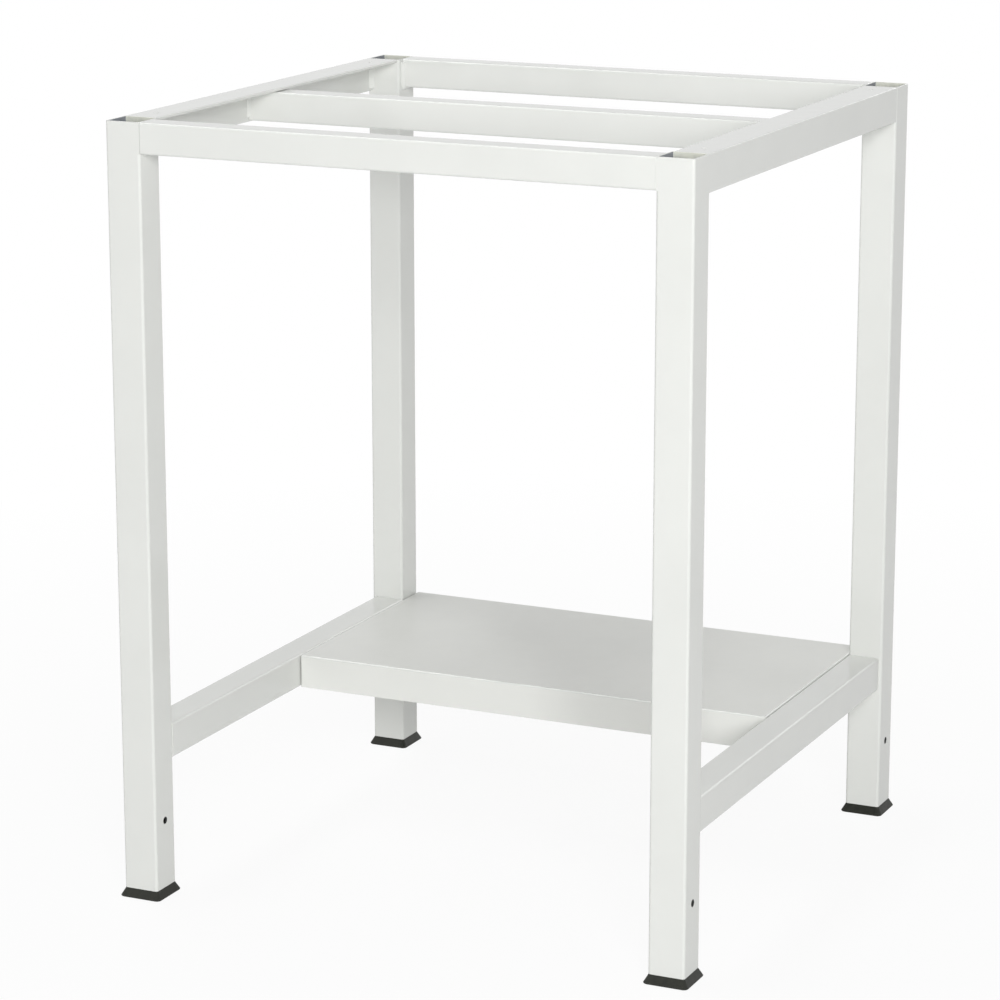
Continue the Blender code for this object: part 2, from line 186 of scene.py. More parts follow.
# Powder coat on tube and on sheet: dark and light tone, lowest and highest roughness
TUBE_COAT = ((0.703, 0.713, 0.686), (0.727, 0.737, 0.709), 0.09, 0.15)
SHEET_COAT = ((0.726, 0.733, 0.702), (0.750, 0.757, 0.725), 0.34, 0.42)
COAT_IOR = 1.5

# Inside of the tubes, from deep down to the mouth: mill scale under drifted paint, and a darker bluish tone
# painted as shade on the walls that face +X;
# then the drift's wander and heights, and the part of the normal along X over which that painted shade comes
# in
MILL_SCALE = [(0.0, (0.050, 0.052, 0.050)), (0.6, (0.28, 0.30, 0.31)), (1.0, (0.72, 0.73, 0.65))]
SHADED_WALL_TONES = [(0.0, (0.028, 0.029, 0.027)), (0.6, (0.12, 0.13, 0.15)), (1.0, (0.26, 0.275, 0.31))]
INSIDE_ROUGHNESS = (0.35, 0.55)
DRIFT_REACH = 0.020
DRIFT_RANGE = (TABLE_TOP - 0.045, TABLE_TOP + 0.008)
SHADED_WALL_RANGE = (0.4, 0.9)

# Black plastic and zinc plate: tones along the noise, lowest and highest roughness
PLASTIC_TONES = [(0.35, (0.015, 0.016, 0.013)), (0.75, (0.027, 0.028, 0.022))]
PLASTIC_ROUGHNESS = (0.42, 0.60)
PLASTIC_SPECULAR = 0.3
ZINC_TONES = [(NOISE_LOW, (0.56, 0.58, 0.61)), (NOISE_HIGH, (0.68, 0.68, 0.66))]
ZINC_ROUGHNESS = (0.22, 0.38)
TURNING_MARKS = {"Scale": 900.0, "Distortion": 1.5, "Detail": 1.0}

# Colour sockets of a Mix node, which shares their names with its other kinds of data
MIX_FIRST = 6
MIX_SECOND = 7
MIX_RESULT = 2

# Smoothness of round shapes
CORNER_STEPS = 8
LIP_STEPS = 3
HOLE_SIDES = 40
FLOOR_SIDES = 96
SHARP_ANGLE = math.radians(38)

# Directions across, up and along a tube that lies along an axis
AXES = {
    "x": (Vector((0, 1, 0)), Vector((0, 0, 1)), Vector((1, 0, 0))),
    "y": (Vector((0, 0, 1)), Vector((1, 0, 0)), Vector((0, 1, 0))),
    "z": (Vector((1, 0, 0)), Vector((0, 1, 0)), Vector((0, 0, 1))),
}

# Camera at the photograph's viewing angle: turn and tilt in radians, lens and sensor in millimetres
CAMERA_PLACE = Vector((1.575, -3.455, 1.333))
CAMERA_TURN = 0.434
CAMERA_TILT = -0.2403
CAMERA_LENS = 128.6
SENSOR = 36.0

# Floor: its grey, the share of white that is seen near the table, and the distances over which that
# share rises to all
WHITE = (1.0, 1.0, 1.0, 1.0)
FLOOR_RADIUS = 40.0
FLOOR_DROP = 0.0002
FLOOR_TONE = 0.86
FLOOR_ROUGHNESS = 0.9
FLOOR_WHITE = 0.92
SHADOW_START = 0.5
SHADOW_END = 1.8

# Strength of the light from all round, and the point that the soft boxes aim at
AMBIENT = 0.17
AIM = Vector((0.0, 0.0, 0.45))

# Soft boxes: place, width, height and power in watts; two of them show in glossy paint
LIGHTS = {
    "key": (Vector((3.3, -5.6, 2.2)), 2.4, 2.4, 272.0),
    "near_key": (Vector((2.2, -3.6, 2.4)), 1.6, 1.6, 36.0),
    "right_high": (Vector((4.2, -1.5, 3.2)), 1.8, 1.8, 7.0),
    "overhead": (Vector((-2.3, -0.4, 5.3)), 4.2, 1.5, 98.0),
    "back": (Vector((0.8, 3.1, 1.55)), 2.2, 0.8, 11.0),
    "back_left_high": (Vector((-3.5, 3.0, 4.0)), 2.4, 2.4, 24.0),
}
MIRRORED_LAMPS = ("overhead", "back")


def link(thing):
    """Puts an object into the scene."""
    bpy.context.scene.collection.objects.link(thing)
    return thing


class Nodes:
    """Short calls for making a material's or the world's node tree."""

    def __init__(self, tree):
        self.tree = tree

    def add(self, kind, values=None, **settings):
        """A node with its settings and the values of its inputs."""
        node = self.tree.nodes.new(kind)
        for name, value in settings.items():
            setattr(node, name, value)
        for name, value in (values or {}).items():
            node.inputs[name].default_value = value
        return node

    def join(self, output, socket):
        """A link from an output to an input."""
        self.tree.links.new(output, socket)

    def noise(self, place, scale, detail, roughness=0.5):
        """Noise at a scale in features per metre."""
        made = self.add("ShaderNodeTexNoise", {"Scale": scale, "Detail": detail, "Roughness": roughness})
        self.join(place, made.inputs["Vector"])
        return made.outputs["Fac"]

    def ramp(self, factor, stops):
        """A colour ramp through (position, colour) stops."""
        made = self.add("ShaderNodeValToRGB")
        elements = made.color_ramp.elements
        while len(elements) < len(stops):
            elements.new(0.5)
        for element, (position, colour) in zip(elements, stops):
            element.position = position
            element.color = (*colour, 1.0)
        self.join(factor, made.inputs["Fac"])
        return made.outputs["Color"]

    def spread(self, factor, low, high, from_low=NOISE_LOW, from_high=NOISE_HIGH):
        """A factor stretched to a range."""
        values = {"From Min": from_low, "From Max": from_high, "To Min": low, "To Max": high}
        made = self.add("ShaderNodeMapRange", values)
        self.join(factor, made.inputs["Value"])
        return made.outputs["Result"]

    def bump(self, height, distance, below=None):
        """Bump of a real height in metres, on top of another bump if there is one."""
        made = self.add("ShaderNodeBump", {"Strength": 1.0, "Distance": distance})
        self.join(height, made.inputs["Height"])
        if below is not None:
            self.join(below, made.inputs["Normal"])
        return made.outputs["Normal"]


def new_material(name):
    """A node material, returned with its nodes, its Principled shader and its object coordinates."""
    made = bpy.data.materials.new(name)
    made.use_nodes = True
    nodes = Nodes(made.node_tree)
    shader = made.node_tree.nodes["Principled BSDF"]
    place = nodes.add("ShaderNodeTexCoord").outputs["Object"]
    return made, nodes, shader, place


def powder_coat(name, dark, light, gloss_low, gloss_high):
    """Pale grey powder coat: faint clouds, uneven sheen, slow waves and fine orange peel."""
    made, nodes, shader, place = new_material(name)
    cloud = nodes.noise(place, *COAT_CLOUD)
    tone = nodes.ramp(cloud, [(NOISE_LOW, dark), (NOISE_HIGH, light)])
    nodes.join(tone, shader.inputs["Base Color"])
    sheen = nodes.noise(place, *COAT_SHEEN)
    nodes.join(nodes.spread(sheen, gloss_low, gloss_high), shader.inputs["Roughness"])
    waves = nodes.bump(nodes.noise(place, *COAT_WAVES), WAVE_HEIGHT)
    peel = nodes.bump(nodes.noise(place, *COAT_PEEL), PEEL_HEIGHT, waves)
    nodes.join(peel, shader.inputs["Normal"])
    shader.inputs["IOR"].default_value = COAT_IOR
    return made


def tube_inside():
    """Inside of a tube: paint drifted in at the mouth, mill scale below and painted shade on the walls that
    face +X.
    """
    made, nodes, shader, place = new_material("tube_inside")
    parts = nodes.add("ShaderNodeSeparateXYZ")
    nodes.join(place, parts.inputs["Vector"])
    drift = nodes.noise(place, *TUBE_DRIFT)
    edge = nodes.add("ShaderNodeMath", operation="MULTIPLY_ADD")
    edge.inputs[1].default_value = DRIFT_REACH
    nodes.join(drift, edge.inputs[0])
    nodes.join(parts.outputs["Z"], edge.inputs[2])
    fade = nodes.spread(edge.outputs["Value"], 0.0, 1.0, *DRIFT_RANGE)
    tone = nodes.ramp(fade, MILL_SCALE)
    # Walls that face +X are darkened towards a bluish tone: painted shade, not a colour of the steel.
    facing = nodes.add("ShaderNodeSeparateXYZ")
    nodes.join(nodes.add("ShaderNodeNewGeometry").outputs["True Normal"], facing.inputs["Vector"])
    painted_shade = nodes.add("ShaderNodeMix", data_type="RGBA")
    nodes.join(nodes.spread(facing.outputs["X"], 0.0, 1.0, *SHADED_WALL_RANGE), painted_shade.inputs["Factor"])
    nodes.join(tone, painted_shade.inputs[MIX_FIRST])
    nodes.join(nodes.ramp(fade, SHADED_WALL_TONES), painted_shade.inputs[MIX_SECOND])
    nodes.join(painted_shade.outputs[MIX_RESULT], shader.inputs["Base Color"])
    nodes.join(nodes.spread(drift, *INSIDE_ROUGHNESS), shader.inputs["Roughness"])
    grit = nodes.bump(nodes.noise(place, *TUBE_GRIT), GRIT_HEIGHT)
    nodes.join(grit, shader.inputs["Normal"])
    return made


def black_plastic():
    """Moulded black polyethylene with a fine spark-eroded grain and faint scuffs."""
    made, nodes, shader, place = new_material("moulded_black_plastic")
    scuff = nodes.noise(place, *PLASTIC_SCUFF)
    nodes.join(nodes.ramp(scuff, PLASTIC_TONES), shader.inputs["Base Color"])
    nodes.join(nodes.spread(scuff, *PLASTIC_ROUGHNESS), shader.inputs["Roughness"])
    shader.inputs["Specular IOR Level"].default_value = PLASTIC_SPECULAR
    grain = nodes.bump(nodes.noise(place, *PLASTIC_GRAIN), GRAIN_HEIGHT)
    nodes.join(grain, shader.inputs["Normal"])
    return made


def zinc_plate():
    """Bright zinc plate with a cloudy passivation and fine turning marks."""
    made, nodes, shader, place = new_material("zinc_plated_steel")
    cloud = nodes.noise(place, *ZINC_CLOUD)
    nodes.join(nodes.ramp(cloud, ZINC_TONES), shader.inputs["Base Color"])
    nodes.join(nodes.spread(cloud, *ZINC_ROUGHNESS), shader.inputs["Roughness"])
    marks = nodes.add("ShaderNodeTexWave", TURNING_MARKS, wave_type="RINGS")
    nodes.join(place, marks.inputs["Vector"])
    nodes.join(nodes.bump(marks.outputs["Fac"], TURNING_HEIGHT), shader.inputs["Normal"])
    shader.inputs["Metallic"].default_value = 1.0
    return made


PAINT = powder_coat("pale_grey_powder_coat", *TUBE_COAT)
SHEET_PAINT = powder_coat("pale_grey_powder_coat_sheet", *SHEET_COAT)
INSIDE = tube_inside()
PLASTIC = black_plastic()
ZINC = zinc_plate()


def mesh_object(name, builder, finishes):
    """An object from a bmesh, with faces turned outwards."""
    bmesh.ops.recalc_face_normals(builder, faces=builder.faces)
    mesh = bpy.data.meshes.new(name)
    builder.to_mesh(mesh)
    builder.free()
    for finish in finishes:
        mesh.materials.append(finish)
    return link(bpy.data.objects.new(name, mesh))


def combine(piece, builder, operation, finish):
    """Cuts a bmesh from a piece or joins it on for good; the new faces get the given finish."""
    other = mesh_object("other", builder, [finish])
    modifier = piece.modifiers.new("combine", "BOOLEAN")
    modifier.operation = operation
    modifier.solver = "EXACT"
    modifier.material_mode = "TRANSFER"
    modifier.object = other
    graph = bpy.context.evaluated_depsgraph_get()
    result = bpy.data.meshes.new_from_object(piece.evaluated_get(graph))
    piece.modifiers.clear()
    old = piece.data
    piece.data = result
    bpy.data.meshes.remove(old)
    bpy.data.objects.remove(other)


def cut_away(piece, builder):
    """Subtracts a bmesh from a piece; the cut faces get the piece's last finish."""
    combine(piece, builder, "DIFFERENCE", piece.data.materials[-1])


def weld_on(piece, builder):
    """Joins a bmesh to a piece in the piece's first finish."""
    combine(piece, builder, "UNION", piece.data.materials[0])


def stand_for(piece, node):
    """Smooths a finished piece and lets it stand for its node of the frame."""
    piece.data.shade_smooth()
    piece.data.set_sharp_from_angle(angle=SHARP_ANGLE)
    flat = piece.modifiers.new("flat_faces", "WEIGHTED_NORMAL")
    flat.keep_sharp = True
    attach(piece, "root")
    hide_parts(node)


def quarter_turn(steps):
    """Angles at even steps through a right angle, with both its ends."""
    return [math.pi / 2 * step / steps for step in range(steps + 1)]


def rounded_rectangle(width, height, radius):
    """Points round a rectangle with arcs at its corners, as (across, up) pairs."""
    points = []
    for quarter, (side_x, side_y) in enumerate(((1, 1), (-1, 1), (-1, -1), (1, -1))):
        for step in range(CORNER_STEPS + 1):
            angle = (quarter + step / CORNER_STEPS) * math.pi / 2
            x = side_x * (width / 2 - radius) + radius * math.cos(angle)
            y = side_y * (height / 2 - radius) + radius * math.sin(angle)
            points.append((x, y))
    return points


def rounded_outline(corners):
    """Points round a right-angled outline of ((across, down), radius) corners."""
    points = []
    for place, (corner, radius) in enumerate(corners):
        corner = Vector(corner)
        before = (Vector(corners[place - 1][0]) - corner).normalized()
        after = (Vector(corners[(place + 1) % len(corners)][0]) - corner).normalized()
        centre = corner + (before + after) * radius
        for angle in quarter_turn(CORNER_STEPS):
            points.append(centre - (after * math.cos(angle) + before * math.sin(angle)) * radius)
    return points


def join_rings(builder, first, second, finish=0):
    """Closes the strip between two rings of as many points."""
    count = len(first)
    for i in range(count):
        j = (i + 1) % count
        face = builder.faces.new((first[i], first[j], second[j], second[i]))
        face.material_index = finish


def stack(builder, sections):
    """A closed solid through rings of as many points, capped at both ends."""
    rings = [[builder.verts.new(point) for point in section] for section in sections]
    for first, second in zip(rings, rings[1:]):
        join_rings(builder, first, second)
    builder.faces.new(rings[0])
    builder.faces.new(rings[-1])


def tube(low, high, axis, radius, reach):
    """A square tube between two corners, with soft lips; reach lengthens both its ends."""
    across, up, along = AXES[axis]
    centre = (low + high) / 2
    size = high - low
    start = low.dot(along) - centre.dot(along) - reach
    end = high.dot(along) - centre.dot(along) + reach
    lips = quarter_turn(LIP_STEPS)
    outer = [(LIP_ROUND * (1 - math.cos(t)), LIP_ROUND * (1 - math.sin(t))) for t in lips]
    inner = [(TUBE_WALL - inset, drop) for inset, drop in reversed(outer)]
    profile = [(inset, end - drop) for inset, drop in outer + inner]
    profile += [(inset, start + drop) for inset, drop in reversed(outer + inner)]
    builder = bmesh.new()
    rings = []
    for inset, place in profile:
        width = size.dot(across) - 2 * inset
        height = size.dot(up) - 2 * inset
        outline = rounded_rectangle(width, height, radius - inset)
        ring = [builder.verts.new(centre + across * u + up * v + along * place) for u, v in outline]
        rings.append(ring)
    within = [inset > TUBE_WALL / 2 for inset, _ in profile]
    for i, ring in enumerate(rings):
        j = (i + 1) % len(rings)
        join_rings(builder, ring, rings[j], 1 if within[i] and within[j] else 0)
    return builder


def drill(builder, centre, axis, diameter, length):
    """Adds a cylinder for a drilled hole, centred on a point."""
    turn = Vector((0, 0, 1)).rotation_difference(Vector(axis)).to_matrix().to_4x4()
    bmesh.ops.create_cone(
        builder,
        cap_ends=True,
        segments=HOLE_SIDES,
        radius1=diameter / 2,
        radius2=diameter / 2,
        depth=length,
        matrix=Matrix.Translation(centre) @ turn,
    )


def block(builder, low, high):
    """Adds a plain box between two corners."""
    size = Vector(high) - Vector(low)
    middle = (Vector(high) + Vector(low)) / 2
    fit = Matrix.Translation(middle) @ Matrix.Diagonal((*size, 1.0))
    bmesh.ops.create_cube(builder, size=1.0, matrix=fit)


def corner_fill(builder, corner, out, back, low, high):
    """Fills the groove beside a leg's rounded edge flush with the outer face, as a ground weld does."""
    corner, out, back = Vector(corner), Vector(out), Vector(back)
    reach = LEG_RADIUS + FILL_OVERLAP
    outline = [
        corner,
        corner - out * reach,
        corner - out * reach - back * FILL_DEPTH,
        corner - (out + back) * FILL_DEPTH,
        corner - back * reach - out * FILL_DEPTH,
        corner - back * reach,
    ]
    stack(builder, [[Vector((p.x, p.y, z)) for p in outline] for z in (low, high)])


def make_legs():
    """Open tubes with a cross hole; the front ones have ground welds beside the rails' outer faces."""
    for end in ENDS:
        for side, sx in SIDES.items():
            node = f"{end}_{side}_leg"
            low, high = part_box(node)
            leg = mesh_object(f"{node}_tube", tube(low, high, "z", LEG_RADIUS, 0.0), [PAINT, INSIDE])
            hole = bmesh.new()
            middle = (low + high) / 2
            drill(hole, (middle.x, middle.y, LEG_HOLE_HEIGHT), (1, 0, 0), LEG_HOLE, LEG_DRILL)
            cut_away(leg, hole)
            if end == "front":
                fills = bmesh.new()
                rail_joint = (sx * INNER_X, -OUTER_Y, 0)
                angle_joint = (sx * SIDE_RAIL_HIGH.x, -INNER_Y, 0)
                top = high.z - FILL_DROP
                corner_fill(fills, rail_joint, (0, -1, 0), (-sx, 0, 0), RAIL_LOW.z, top)
                corner_fill(fills, angle_joint, (sx, 0, 0), (0, 1, 0), SIDE_RAIL_LOW.z, top)
                weld_on(leg, fills)
            stand_for(leg, node)


def make_side_rails():
    """Angles with a drilled flange on top and a flange in line with the legs' outer faces."""
    width = SIDE_RAIL_HIGH.x - SIDE_RAIL_LOW.x
    height = SIDE_RAIL_HIGH.z - SIDE_RAIL_LOW.z
    section = rounded_outline([
        ((0.0, 0.0), ANGLE_EDGE),
        ((width, 0.0), ANGLE_EDGE),
        ((width, ANGLE_WALL), ANGLE_TOE),
        ((ANGLE_WALL, ANGLE_WALL), ANGLE_ROOT),
        ((ANGLE_WALL, height), ANGLE_TOE),
        ((0.0, height), ANGLE_EDGE),
    ])
    for side, sx in SIDES.items():
        node = f"{side}_side_rail"
        low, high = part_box(node)
        builder = bmesh.new()
        sections = []
        for y in (low.y - JOINT_GAP, high.y + JOINT_GAP):
            sections.append([Vector((sx * (SIDE_RAIL_HIGH.x - p.x), y, high.z - p.y)) for p in section])
        stack(builder, sections)
        rail = mesh_object(f"{node}_angle", builder, [PAINT])
        holes = bmesh.new()
        for sy in ENDS.values():
            place = ((low.x + high.x) / 2, sy * (INNER_Y - TOP_HOLE_FROM_LEG), high.z - ANGLE_WALL / 2)
            drill(holes, place, (0, 0, 1), TOP_HOLE, TOP_DRILL)
        cut_away(rail, holes)
        stand_for(rail, node)


def make_cross_rails():
    """Smaller tubes across the frame, with a fine seam at each end."""
    for node in ("front_rail", "rear_rail", "middle_rail"):
        low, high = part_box(node)
        builder = tube(low, high, "x", CROSS_RAIL_RADIUS, JOINT_GAP - RAIL_SEAM)
        rail = mesh_object(f"{node}_tube", builder, [PAINT, INSIDE])
        stand_for(rail, node)


def screw_places():
    """Middles of the shelf's screws, by node name."""
    numbers = range(1, SHELF_SCREWS + 1)
    names = [f"{side}_shelf_screw_{number}" for side in SIDES for number in numbers]
    places = {}
    for name in names:
        low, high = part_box(name)
        places[name] = (low + high) / 2
    return places


def make_stretchers():
    """Low side tubes, drilled for the shelf's screws."""
    for side, sx in SIDES.items():
        node = f"{side}_stretcher"
        low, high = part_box(node)
        builder = tube(low, high, "y", STRETCHER_RADIUS, JOINT_GAP)
        stretcher = mesh_object(f"{node}_tube", builder, [PAINT, INSIDE])
        holes = bmesh.new()
        for name, place in screw_places().items():
            if name.startswith(side):
                drill(holes, (sx * INNER_X, place.y, place.z), (1, 0, 0), SCREW_HOLE, STRETCHER_DRILL)
        cut_away(stretcher, holes)
        stand_for(stretcher, node)


def bevelled_block(low, high, bend):
    """A block whose top edges and upright edges are rounded."""
    builder = bmesh.new()
    block(builder, low, high)
    bottom = min(v.co.z for v in builder.verts)
    edges = [e for e in builder.edges if max(v.co.z for v in e.verts) > bottom + SHEET]
    bmesh.ops.bevel(builder, geom=edges, offset=bend, segments=CORNER_STEPS, profile=0.5, affect="EDGES")
    return builder


def make_shelf():
    """A tray folded down on all sides, with two lips, slit corners and glossier paint on the bends."""
    sheet = Vector((SHEET, SHEET, SHEET))
    shelf = mesh_object("shelf_tray", bevelled_block(SHELF_LOW, SHELF_HIGH, SHELF_BEND), [SHEET_PAINT])
    cut_away(shelf, bevelled_block(SHELF_LOW + sheet, SHELF_HIGH - sheet, SHELF_BEND - SHEET))
    opening = bmesh.new()
    inside_x = SHELF_HIGH.x - SHEET
    opening_low = (-inside_x, SHELF_LOW.y + SHELF_LIP, SHELF_LOW.z - SHEET)
    block(opening, opening_low, (inside_x, SHELF_HIGH.y - SHELF_LIP, SHELF_LOW.z + 2 * SHEET))
    cut_away(shelf, opening)
    slits = bmesh.new()
    slit_high = SHELF_HIGH.z - SHELF_BEND - SHEET
    for sx in SIDES.values():
        ends = sorted((sx * (inside_x - SHELF_LIP), sx * (SHELF_HIGH.x + SHEET)))
        for y in (SHELF_LOW.y + SHEET, SHELF_HIGH.y - SHEET - CORNER_SLIT):
            block(slits, (ends[0], y, SHELF_LOW.z - SHEET), (ends[1], y + CORNER_SLIT, slit_high))
    cut_away(shelf, slits)
    holes = bmesh.new()
    for place in screw_places().values():
        centre = (math.copysign(inside_x, place.x), place.y, place.z)
        drill(holes, centre, (1, 0, 0), SCREW_HOLE, SHELF_DRILL)
    cut_away(shelf, holes)
    shelf.data.materials.append(PAINT)
    for face in shelf.data.polygons:
        if max(abs(part) for part in face.normal) < FLAT_FACE:
            face.material_index = 1
    stand_for(shelf, "shelf")


def foot_levels():
    """Size, corner radius and height of a foot's rings, from the floor to the top of its plug."""
    base = FOOT_HIGH.x - FOOT_LOW.x
    core = LEG_SIZE - 2 * TUBE_WALL - 2 * JOINT_GAP - 2 * PLUG_RIB_REACH
    plug_radius = LEG_RADIUS - TUBE_WALL
    levels = []
    for angle in quarter_turn(CORNER_STEPS):
        size = base - 2 * FOOT_BASE_ROUND * (1 - math.sin(angle))
        levels.append((size, FOOT_CORNER, FOOT_BASE_ROUND * (1 - math.cos(angle))))
    levels.append((LEG_SIZE + FOOT_TOP_ROUND, LEG_RADIUS, FOOT_SKIRT - FOOT_TOP_ROUND))
    levels.append((LEG_SIZE + FOOT_RIM_WIDTH, LEG_RADIUS, FOOT_SKIRT - FOOT_RIM_DROP))
    levels.append((LEG_SIZE - FOOT_TOP_ROUND, LEG_RADIUS, FOOT_SKIRT + FOOT_SHOULDER))
    levels.append((core, plug_radius, FOOT_SKIRT + FOOT_SHOULDER))
    pitch = (FOOT_HIGH.z - FOOT_SKIRT) / (PLUG_RIBS + SPARE_PITCH)
    for rib in range(PLUG_RIBS):
        low = FOOT_SKIRT + pitch * (rib + FIRST_RIB)
        for share in RIB_RINGS:
            reach = PLUG_RIB_REACH * math.sin(math.pi * share) ** 0.5 if 0 < share < 1 else 0.0
            levels.append((core + 2 * reach, plug_radius, low + PLUG_RIB_HEIGHT * share))
    levels.append((core, plug_radius, FOOT_HIGH.z))
    return levels


def make_feet():
    """Flared feet with a soft base edge, a thin rim under the leg and a ribbed plug inside it."""
    for end in ENDS:
        for side in SIDES:
            node = f"{end}_{side}_foot"
            low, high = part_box(node)
            middle = (low + high) / 2
            sections = []
            for size, radius, z in foot_levels():
                outline = rounded_rectangle(size, size, radius)
                sections.append([Vector((middle.x + u, middle.y + v, z)) for u, v in outline])
            builder = bmesh.new()
            stack(builder, sections)
            stand_for(mesh_object(f"{node}_moulding", builder, [PLASTIC]), node)


def make_screws():
    """Pan head screws with a cross recess, their heads inside the shelf."""
    shank = (SCREW_HOLE - 2 * JOINT_GAP) / 2
    seat = SHELF_HIGH.x - SHEET
    for node, place in screw_places().items():
        low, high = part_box(node)
        outward = math.copysign(1.0, place.x)
        tip = max(abs(low.x), abs(high.x))
        crown = min(abs(low.x), abs(high.x))
        head = (high.y - low.y) / 2
        rise = seat - crown
        profile = []
        for angle in quarter_turn(CORNER_STEPS)[1:]:
            profile.append((head * math.sin(angle), crown + rise * SCREW_CROWN * (1 - math.cos(angle))))
        profile += [(head, seat), (shank, seat), (shank, tip - shank), (shank * SCREW_TIP, tip)]
        sections = []
        for radius, x in profile:
            ring = []
            for i in range(HOLE_SIDES):
                angle = 2 * math.pi * i / HOLE_SIDES
                y = place.y + radius * math.cos(angle)
                z = place.z + radius * math.sin(angle)
                ring.append(Vector((outward * x, y, z)))
            sections.append(ring)
        builder = bmesh.new()
        stack(builder, sections)
        screw = mesh_object(f"{node}_zinc", builder, [ZINC])
        arm = head * RECESS_ARM
        width = head * RECESS_WIDTH
        deep = rise * RECESS_DEPTH
        for half_y, half_z, depth in ((arm, width, deep), (width, arm, deep * SECOND_ARM_DEPTH)):
            recess = bmesh.new()
            ends = sorted((outward * (crown - rise), outward * (crown + depth)))
            recess_low = (ends[0], place.y - half_y, place.z - half_z)
            block(recess, recess_low, (ends[1], place.y + half_y, place.z + half_z))
            turn = Matrix.Rotation(RECESS_TURN, 3, "X")
            bmesh.ops.rotate(recess, cent=place, matrix=turn, verts=recess.verts)
            cut_away(screw, recess)
        stand_for(screw, node)


def round_corner(start, corner, finish, first_out, second_out, radius):
    """Stations over two faces of a tube and the rounded edge between them, with outward normals."""
    first, second = Vector(first_out), Vector(second_out)
    centre = Vector(corner) - (first + second) * radius
    stations = [(Vector(start), first)]
    for angle in quarter_turn(CORNER_STEPS):
        out = first * math.cos(angle) + second * math.sin(angle)
        stations.append((centre + out * radius, out))
    stations.append((Vector(finish), second))
    return stations


def straight_run(start, finish, outward):
    """Stations of a straight bead on one face."""
    return [(Vector(start), Vector(outward)), (Vector(finish), Vector(outward))]


def even_steps(stations):
    """Points, outward directions and run lengths at even steps along a weld's stations."""
    path = []
    run = 0.0
    for (first, first_out), (second, second_out) in zip(stations, stations[1:]):
        length = (second - first).length
        count = max(1, round(length / BEAD_STEP))
        for step in range(count):
            share = step / count
            out = first_out.lerp(second_out, share).normalized()
            path.append((first.lerp(second, share), out, run + length * share))
        run += length
    path.append((stations[-1][0], stations[-1][1], run))
    return path


def bead_form(run, length, across, size, seed):
    """Swelling of a bead at one point: rounded ends, crescent ripples and a slow wander."""
    from_end = min(run, length - run) / size
    taper = math.sin(math.pi / 2 * min(1.0, BEAD_END + from_end))
    hump = math.sin(math.pi * across)
    ripple = math.cos(2 * math.pi * (run + RIPPLE_LAG * hump) / RIPPLE_PITCH)
    wander = noise.noise(Vector((run * WANDER_SCALE, seed, across)))
    return taper * (1.0 + (BEAD_CROWN + RIPPLE_SHARE * ripple) * hump + WANDER_SHARE * wander)


def fillet_bead(node, stations, plate_out, size, seed):
    """A rippled bead along a tube's end where it stands on a plate."""
    plate = Vector(plate_out)
    path = even_steps(stations)
    length = path[-1][2]
    sections = []
    for point, out, run in path:
        root = point - (plate + out) * JOINT_GAP
        section = [root]
        for step in range(BEAD_ACROSS + 1):
            across = step / BEAD_ACROSS
            reach = size * bead_form(run, length, across, size, seed)
            section.append(point + (plate * (1 - across) + out * across) * reach)
        sections.append(section)
    builder = bmesh.new()
    stack(builder, sections)
    stand_for(mesh_object(f"{node}_bead", builder, [PAINT]), node)


def corner_seed(first, sx, sy):
    """A seed of its own for each of four corners."""
    return first + 3 * sx + sy


def make_corner_welds():
    """The beads that join one cross rail and one side rail to each leg."""
    rail_low = RAIL_LOW.z
    web_low = SIDE_RAIL_LOW.z + ANGLE_TOE
    web_high = SIDE_RAIL_HIGH.z - ANGLE_WALL - ANGLE_ROOT
    seed = 0
    for end, sy in ENDS.items():
        for side, sx in SIDES.items():
            seed += 1
            inner_x = sx * INNER_X
            rail_y = sy * (OUTER_Y - RAIL_DEPTH)
            stations = round_corner(
                (inner_x, rail_y, TABLE_TOP - CROSS_RAIL_RADIUS),
                (inner_x, rail_y, rail_low),
                (inner_x, sy * (OUTER_Y - BEAD_FROM_FACE), rail_low),
                (0, -sy, 0),
                (0, 0, -1),
                CROSS_RAIL_RADIUS,
            )
            fillet_bead(f"{end}_{side}_cross_rail_weld", stations, (-sx, 0, 0), BEAD, seed)
            web_x = sx * WEB_X
            leg_y = sy * INNER_Y
            stations = straight_run((web_x, leg_y, web_low), (web_x, leg_y, web_high), (-sx, 0, 0))
            node = f"{end}_{side}_side_rail_weld"
            fillet_bead(node, stations, (0, -sy, 0), SIDE_RAIL_BEAD, seed + SIDE_RAIL_SEED)


def make_middle_rail_welds():
    """A bead down the front and the rear of the middle rail at each end."""
    low = MIDDLE_LOW.z + CROSS_RAIL_RADIUS
    high = MIDDLE_HIGH.z - CROSS_RAIL_RADIUS
    faces = {"front": MIDDLE_LOW.y, "rear": MIDDLE_HIGH.y}
    for side, sx in SIDES.items():
        x = sx * WEB_X
        for end, sy in ENDS.items():
            stations = straight_run((x, faces[end], low), (x, faces[end], high), (0, sy, 0))
            node = f"middle_rail_{side}_{end}_weld"
            seed = corner_seed(MIDDLE_RAIL_SEED, sx, sy)
            fillet_bead(node, stations, (-sx, 0, 0), SMALL_BEAD, seed)


def make_stretcher_welds():
    """A bead along the underside of each end of each stretcher."""
    low = STRETCHER_LOW.z
    for side, sx in SIDES.items():
        outer_x = sx * (STRETCHER_HIGH.x - STRETCHER_RADIUS)
        inner_x = sx * (INNER_X + LEG_RADIUS)
        for end, sy in ENDS.items():
            leg_y = sy * INNER_Y
            stations = straight_run((outer_x, leg_y, low), (inner_x, leg_y, low), (0, 0, -1))
            node = f"{side}_stretcher_{end}_weld"
            seed = corner_seed(STRETCHER_SEED, sx, sy)
            fillet_bead(node, stations, (0, -sy, 0), SMALL_BEAD, seed)


